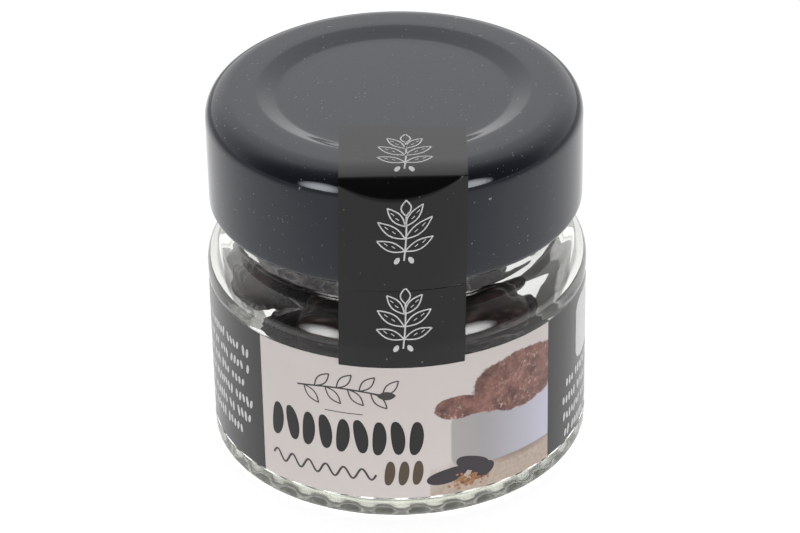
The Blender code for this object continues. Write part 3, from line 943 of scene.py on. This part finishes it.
# The stiff paper spans the recess level, bends a little and has a straight crease before the skirt
BEND_FROM = 19.3 * MM
BEND_CORNER = 21.2 * MM
CREASE_DEPTH = 22.3 * MM
CREASE_HEIGHT = 47.95 * MM
BELOW_CREASE = 40 * DEGREE
CREASE_EASE = 0.9

# Middles of the strip's sprigs: the first one's depth on the lid's top, and the others' heights
SPRIGS_ON_LID = (17.4 * MM, 41.0 * MM)
SPRIG_ON_JAR = 29.0 * MM

# Layout of such a sprig in millimetres, with its pairs of leaves as (height, length, width, lean)
SPRIG_SHIFT = 0.1
SPRIG_LINE = 0.17
SPRIG_FOOT = -3.9
SPRIG_TALL = 6.2
LEAF_ROOT = 0.1
LEAF_PAIRS = ((-2.6, 3.6, 1.25, 1.2), (-0.9, 3.9, 1.3, 0.98), (0.8, 3.3, 1.2, 0.7))
TIP_LEAF = (2.1, 1.2)
FOOT_BUD = (1.0, 0.62)


def curve(start, corner, end, steps):
    """Points of a bend with a corner to round, without its start."""
    return [start.lerp(corner, share).lerp(corner.lerp(end, share), share) for share in shares(steps)[1:]]


def seal_x(share, height):
    """The way to the right of a place on the strip: share goes from its left edge to its right."""
    drift = SEAL_DRIFT * max(0.0, min(1.0, (LID_TOP - height) / (LID_TOP - SEAL_LOW)))
    return LID_RADIUS * math.sin((SEAL_OFFSET + (share - 0.5) * SEAL_WIDTH) / LID_RADIUS) + drift


def lid_course(share):
    """The strip's course over the lid at a place across it, as points (depth, height)."""
    x = seal_x(share, LID_TOP)
    skirt = math.sqrt(SEAL_TOP_RADIUS ** 2 - x ** 2)
    deck = LID_TOP + SEAL_LIFT
    end = Vector((SEAL_END_LEFT + share * (SEAL_END_RIGHT - SEAL_END_LEFT), deck))
    crease = Vector((min(CREASE_DEPTH, skirt), CREASE_HEIGHT))
    bulge = skirt - crease.x
    below = Vector((skirt, CREASE_HEIGHT - bulge / math.tan(BELOW_CREASE)))
    course = [end.lerp(Vector((BEND_FROM, deck)), part) for part in shares(20)]
    course += curve(course[-1], Vector((BEND_CORNER, deck)), crease, 14)
    course += curve(crease, below, Vector((skirt, below.y - bulge * CREASE_EASE)), 12)
    foot = Vector((skirt, SEAL_PARTING + SEAL_GAP / 2))
    return course + [course[-1].lerp(foot, part) for part in shares(28)[1:]]


def neck_course(share):
    """The strip's course from the lid's edge down to the label, as points (depth, height)."""
    path = rounded_outline([
        (SEAL_TOP_RADIUS, SEAL_PARTING - SEAL_GAP / 2, 0),
        (SEAL_FOOT_RADIUS, SEAL_MEETS_BODY, SEAL_EASE),
        (SEAL_FOOT_RADIUS, SEAL_LOW, 0),
    ], NECK_RUN)
    return [Vector((math.sqrt(radius ** 2 - seal_x(share, height) ** 2), height)) for radius, height in path]


def seal_rows(course_at):
    """A grid of (point, outward normal) from the strip's course at each column."""
    columns = []
    for share in shares(SEAL_COLUMNS):
        course = course_at(share)
        columns.append([Vector((seal_x(share, height), -depth, height)) for depth, height in course])
    grid = [list(row) for row in zip(*columns)]
    rows = []
    for row, points in enumerate(grid):
        before, after = grid[max(row - 1, 0)], grid[min(row + 1, len(grid) - 1)]
        normals = []
        for column in range(len(points)):
            left, right = points[max(column - 1, 0)], points[min(column + 1, len(points) - 1)]
            normals.append((before[column] - after[column]).cross(left - right).normalized())
        rows.append(list(zip(points, normals)))
    return rows


def seal_surface(rows):
    """A surface for prints: across from the strip's middle, along from its upper end."""
    middle = [row[SEAL_COLUMNS // 2][0] for row in rows]
    lengths = [0.0]
    for before, after in zip(middle, middle[1:]):
        lengths.append(lengths[-1] + (after - before).length)

    def surface(across, along):
        way = along * MM
        row = 0
        while row < len(rows) - 2 and lengths[row + 1] < way:
            row += 1
        down = (way - lengths[row]) / (lengths[row + 1] - lengths[row])
        place = (0.5 + across * MM / SEAL_WIDTH) * SEAL_COLUMNS
        column = max(0, min(SEAL_COLUMNS - 1, int(place)))
        ends = []
        for line in (rows[row], rows[row + 1]):
            pairs = zip(line[column], line[column + 1])
            ends.append([first.lerp(second, place - column) for first, second in pairs])
        point, normal = [upper.lerp(lower, down) for upper, lower in zip(*ends)]
        return point + normal.normalized() * SEAL_PAPER, normal.normalized()

    return surface


def draw_sprig(ink, middle):
    """A line-drawn sprig about 8 mm wide and tall, with its tip towards the path's start."""

    def spot(x, y):
        return SPRIG_SHIFT + x, middle - y

    stem = [spot(0.25 * math.sin(2.2 * share), SPRIG_FOOT + SPRIG_TALL * share) for share in shares(12)]
    ink.stroke(stem, SPRIG_LINE * 1.15)
    for height, length, width, lean in LEAF_PAIRS:
        for way in (-1, 1):
            ink.lens(spot(LEAF_ROOT, height), length, width, math.pi - way * lean, SPRIG_LINE)
            for part in (0.35, 0.62):
                x = LEAF_ROOT + way * math.sin(lean) * length * part
                y = height + math.cos(lean) * length * part
                vein = [spot(x + way * run, y + 0.8 * run) for run in (0, 0.2, 0.4)]
                ink.stroke(vein, SPRIG_LINE * 0.6)
    ink.lens(spot(0.2, 2.2), *TIP_LEAF, math.pi, SPRIG_LINE)
    for way in (-1, 1):
        ink.oval(spot(way * 0.85, SPRIG_FOOT), *FOOT_BUD, way * 0.5)


def seal_length_to(course, place):
    """The way along a course, in millimetres, to a depth on the lid's top or a height below it."""
    way = 0.0
    for before, after in zip(course, course[1:]):
        reached = after.x >= place if place < BEND_FROM else after.y <= place
        if reached:
            break
        way += (after - before).length
    return way / MM


def make_seal_part(name, course_at, node, body, sprigs, end_slots):
    """One part of the strip with its print."""
    rows = seal_rows(course_at)
    strip = sheet_mesh(name, rows, SEAL_PAPER, [seal_paint(), seal_edge_paint()], end_slots=end_slots)
    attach(strip, body)
    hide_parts(node)
    ink = Print(seal_surface(rows))
    for place in sprigs:
        draw_sprig(ink, seal_length_to(course_at(0.5), place))
    ink.finish(name + "_print", ink_paint(name + "_white", (0.66, 0.66, 0.66)), body)


def make_seal():
    """The strip, parted at the lid's lower edge, where its ends keep the face's dark slot."""
    make_seal_part("seal_on_lid", lid_course, "seal_upper", "cap", SPRIGS_ON_LID, end_slots=(1, 0))
    make_seal_part("seal_on_jar", neck_course, "seal_lower", "base", (SPRIG_ON_JAR,), end_slots=(0, 1))


# ---- beans

# Folds as (how many, height in millimetres), along the bean and across it
LONG_FOLDS = ((7, 0.2), (12, 0.18), (19, 0.13), (31, 0.07))
CROSS_FOLDS = ((23, 0.05), (41, 0.03))
BEAN_SHRINK = 0.12 * MM
BEAN_LEVELS = 3
WELD_DISTANCE = 0.01 * MM


def bean_axes(points):
    """The middle of a bean and its long, wide and thin directions."""
    middle = points.mean(0)
    _, _, axes = np.linalg.svd(points - middle, full_matrices=False)
    return middle, axes


def wrinkle(points, normals, dice):
    """Move a bean's points along their normals in folds that run along it."""
    middle, axes = bean_axes(points)
    local = (points - middle) @ axes.T
    length = np.abs(local[:, 0]).max()
    along = local[:, 0] / length
    around = np.arctan2(local[:, 2], local[:, 1])
    wander = 0.5 * np.sin(3.1 * along + dice.uniform(0, 6)) + 0.25 * np.sin(7.3 * along + dice.uniform(0, 6))
    depth = np.zeros(len(points))
    for folds, size in LONG_FOLDS:
        phase = dice.uniform(0, 6)
        sway = dice.uniform(1.5, 4) * np.sin(along * dice.uniform(2, 5) + phase)
        ridge = 1 - 2 * np.abs(np.sin((folds * (around + wander) + sway) / 2))
        depth += size * MM * ridge * (0.6 + 0.4 * np.sin(5 * along + 2 * around + phase))
    for bands, size in CROSS_FOLDS:
        depth += size * MM * np.sin(bands * along + 3 * np.sin(2 * around) + dice.uniform(0, 6))
    depth *= np.clip((1 - np.abs(along)) * 6, 0.15, 1)
    return points + normals * (depth - BEAN_SHRINK)[:, None]


def refine_bean(name, source, skin, dice):
    """A smooth wrinkled bean from a plain bean mesh."""
    shape = bmesh.new()
    shape.from_mesh(source)
    bmesh.ops.remove_doubles(shape, verts=shape.verts, dist=WELD_DISTANCE)
    rough = bpy.data.meshes.new(name + "_rough")
    shape.to_mesh(rough)
    shape.free()
    bean = new_object(name, rough)
    smoother = bean.modifiers.new("smooth", "SUBSURF")
    smoother.levels = BEAN_LEVELS
    smoother.render_levels = BEAN_LEVELS
    graph = bpy.context.evaluated_depsgraph_get()
    fine = bpy.data.meshes.new_from_object(bean.evaluated_get(graph))
    bean.modifiers.clear()
    bean.data = fine
    count = len(fine.vertices)
    points = np.empty(count * 3)
    normals = np.empty(count * 3)
    fine.vertices.foreach_get("co", points)
    fine.vertices.foreach_get("normal", normals)
    moved = wrinkle(points.reshape(-1, 3), normals.reshape(-1, 3), dice)
    fine.vertices.foreach_set("co", moved.ravel())
    fine.materials.clear()
    fine.materials.append(skin)
    fine.shade_smooth()
    return bean


def make_beans():
    """Each bean of the CAD, refined."""
    skin = bean_paint()
    dice = random.Random(7)
    for name in sorted(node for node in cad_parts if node.startswith("bean_")):
        bean = refine_bean("tonka_" + name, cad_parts[name].data, skin, dice)
        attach(bean, "base")
        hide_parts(name)


# ---- studio

FLOOR_SIZE = 6
FLOOR_DROP = 0.02 * MM
FLOOR_GLOW = 0.93
# Painted light: the floor glows more in a disc under the jar
UNDER_GLOW = 1.0
UNDER_RADIUS = 24 * MM
UNDER_EDGE = 8.0

# The fading of the floor's glow, a painted shade in front of the jar and far around it, as (where it starts,
# over what length, by what share)
FADE_AHEAD = (40 * MM, 35 * MM, 0.24)
FADE_AROUND = (130 * MM, 120 * MM, 0.6)

# The sky's brightness from the front (0) over the top (0.5) to the back (1), and what is left of it
# to the sides. Its ramp holds shares of a peak, so that no colour in it is past 1.
SKY_STOPS = [(0.0, 0.056), (0.2, 0.08), (0.3, 0.144), (0.44, 0.34), (0.5, 0.56), (0.55, 0.8), (0.625, 1.25),
             (0.77, 1.45), (0.93, 1.3), (1.0, 1.3)]
SIDE_STOPS = [(0.45, 1.0), (0.9, 0.62)]
SKY_PEAK = 2.0

# The two soft lights, as (bearing from the front, elevation)
SOFTBOX_PLACE = (44 * DEGREE, 9 * DEGREE)
SOFTBOX_HALF_SIZES = (14 * DEGREE, 21 * DEGREE)
SOFTBOX_GLOW = 7.5
SOFTBOX_EDGE = 1.1


def make_floor():
    """A white table that glows itself: a painted pool of light under the jar, painted shade a little in
    front of it, and its glow fading far from it.
    """
    bpy.ops.mesh.primitive_plane_add(size=FLOOR_SIZE, location=(0, 0, -FLOOR_DROP))
    floor = bpy.context.object
    floor.name = "studio_floor"
    paint = Paint("studio_floor", Base_Color=(0.12, 0.12, 0.12), Roughness=0.9)
    x, y, _ = paint.split(paint.place())

    def fade(distance, start, length, loss):
        """1 up to a distance, less by a share beyond it."""
        past = paint.math("DIVIDE", paint.math("SUBTRACT", distance, start), length, clamp=True)
        return paint.math("SUBTRACT", 1.0, paint.math("MULTIPLY", past, loss))

    # Painted shade in front of the jar and far around it, and a painted pool of light under it
    ahead = fade(paint.math("MULTIPLY", y, -1.0), *FADE_AHEAD)
    away = paint.node("ShaderNodeVectorMath", output=1, settings={"operation": "LENGTH"}, i0=paint.place())
    around = fade(away, *FADE_AROUND)
    under = paint.ellipse((x, y), (0.0, 0.0), (UNDER_RADIUS, UNDER_RADIUS))
    under = paint.math("MULTIPLY", under, UNDER_EDGE, clamp=True)
    glow = paint.math("MULTIPLY", paint.math("MULTIPLY", ahead, around), FLOOR_GLOW)
    glow = paint.math("ADD", glow, paint.math("MULTIPLY", under, UNDER_GLOW))
    paint.set("Emission Color", (1.0, 1.0, 1.0))
    paint.set("Emission Strength", glow)
    floor.data.materials.append(paint.material)


def make_sky():
    """Bright behind the jar, darker overhead and in front, with a soft light to each side of the front."""
    world = bpy.data.worlds.new("studio")
    bpy.context.scene.world = world
    world.use_nodes = True
    sky = Nodes(world.node_tree)
    x, y, z = sky.split(sky.node("ShaderNodeTexCoord"))
    backward = sky.math("ADD", sky.math("MULTIPLY", y, 0.5), 0.5)
    glow = sky.ramp(backward, [(place, level / SKY_PEAK) for place, level in SKY_STOPS])
    glow = sky.math("MULTIPLY", glow, SKY_PEAK)
    glow = sky.math("MULTIPLY", glow, sky.ramp(sky.math("ABSOLUTE", x), SIDE_STOPS))
    bearing = sky.math("ARCTAN2", sky.math("ABSOLUTE", x), sky.math("MULTIPLY", y, -1.0))
    elevation = sky.math("ARCSINE", z)
    inside = sky.ellipse((bearing, elevation), SOFTBOX_PLACE, SOFTBOX_HALF_SIZES)
    soft = sky.math("MULTIPLY", sky.math("MULTIPLY", inside, SOFTBOX_EDGE, clamp=True), SOFTBOX_GLOW)
    background = sky.tree.nodes["Background"].inputs
    sky.link((1.0, 1.0, 1.0), background["Color"])
    sky.link(sky.math("ADD", glow, soft), background["Strength"])
    bpy.context.scene.view_settings.view_transform = "Standard"


def make_camera():
    """The camera, high in front of the jar and a little rolled."""
    camera = bpy.data.cameras.new("camera")
    camera.sensor_width = SENSOR
    camera.lens = FOCAL_PIXELS * SENSOR / IMAGE_WIDTH
    camera.clip_start = 0.01
    item = new_object("camera", camera)
    back = Vector((0, -math.cos(CAMERA_ELEVATION), math.sin(CAMERA_ELEVATION)))
    up = Vector((0, math.sin(CAMERA_ELEVATION), math.cos(CAMERA_ELEVATION)))
    right = Vector((1, 0, 0))
    rolled_right = right * math.cos(CAMERA_ROLL) + up * math.sin(CAMERA_ROLL)
    rolled_up = up * math.cos(CAMERA_ROLL) - right * math.sin(CAMERA_ROLL)
    turn = Matrix((rolled_right, rolled_up, back)).transposed()
    item.matrix_world = Matrix.Translation(CAMERA_AIM + back * CAMERA_DISTANCE) @ turn.to_4x4()
    bpy.context.scene.camera = item


make_camera()
make_floor()
make_sky()
make_jar()
make_lid()
make_gasket()
make_label()
print_bean_row()
print_lines()
print_brown_beans()
print_picture()
print_sides()
make_seal()
make_beans()
